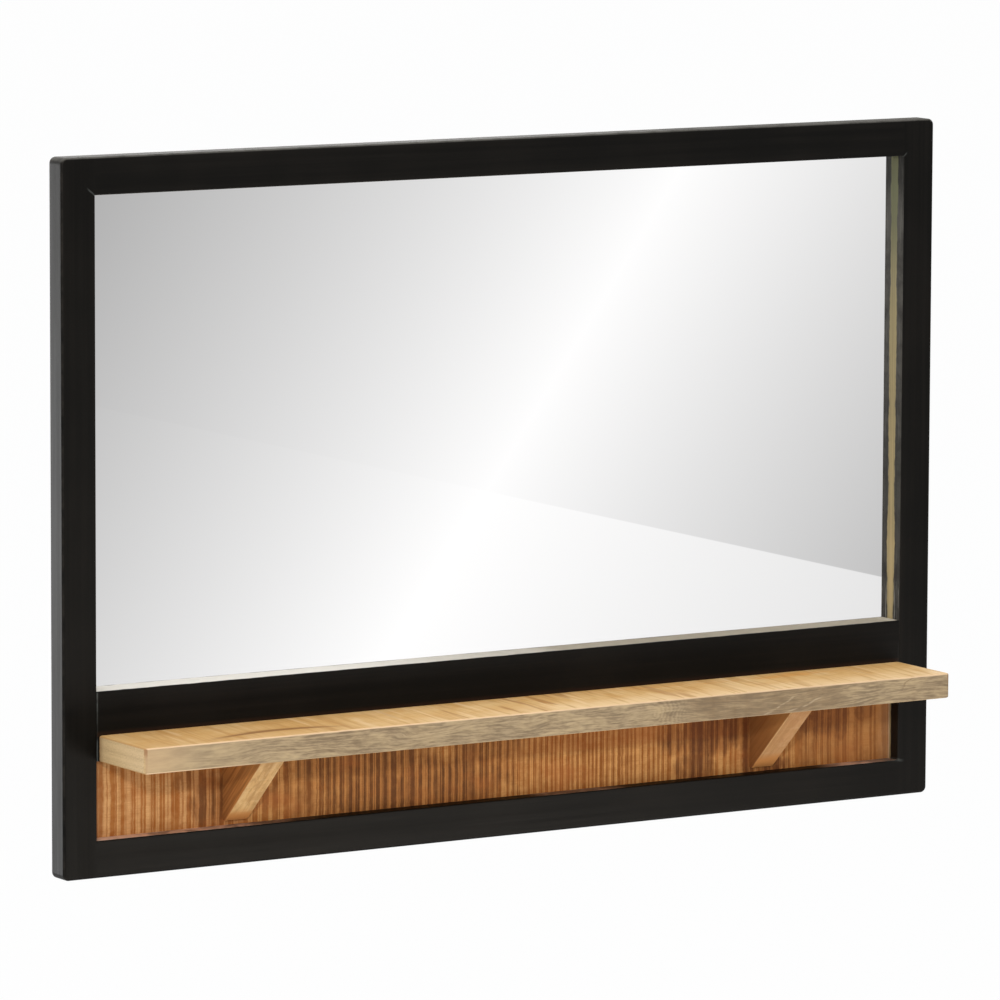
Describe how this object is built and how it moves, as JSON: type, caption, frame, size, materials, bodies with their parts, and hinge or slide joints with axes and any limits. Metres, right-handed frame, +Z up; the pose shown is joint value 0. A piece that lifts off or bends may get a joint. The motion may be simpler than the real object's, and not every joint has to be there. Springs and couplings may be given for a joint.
{
  "type": "wall mirror with shelf",
  "caption": "Wall mirror in a black wooden frame, with a board shelf on triangular brackets over a rough-sawn wood panel and keyhole hangers at the back.",
  "frame": {"origin": "on the wall plane, midway between the entry holes of the two keyhole plates", "axes": "+X along the width, -Y out of the wall towards the room, +Z up"},
  "size_m": [0.8, 0.093, 0.55],
  "materials": {
    "black_lacquer": "solid hardwood, satin black lacquer, raw by the glass",
    "silvered_glass": "clear float glass, silvered at the back",
    "hardboard": "plain brown hardboard",
    "sawn_wood": "rough-sawn reddish hardwood, oiled",
    "honey_wood": "light hardwood, fine saw marks, clear matt lacquer",
    "bracket_wood": "light hardwood, sawn faces",
    "dowel_wood": "plain beech dowel",
    "zinc_steel": "zinc-plated steel"
  },
  "bodies": {
    "root": {"left_stile": "black_lacquer", "right_stile": "black_lacquer", "top_rail": "black_lacquer", "middle_rail": "black_lacquer", "bottom_rail": "black_lacquer", "mirror_pane": "silvered_glass", "backing_board": "hardboard", "backing_board_screws": "zinc_steel", "lower_panel": "sawn_wood", "panel_screws": "zinc_steel", "shelf_board": "honey_wood", "shelf_screws": "zinc_steel", "left_bracket": "bracket_wood", "right_bracket": "bracket_wood", "bracket_screws": "zinc_steel", "bracket_dowels": "dowel_wood", "left_keyhole_plate": "zinc_steel", "right_keyhole_plate": "zinc_steel", "keyhole_plate_screws": "zinc_steel"}
  },
  "joints": []
}
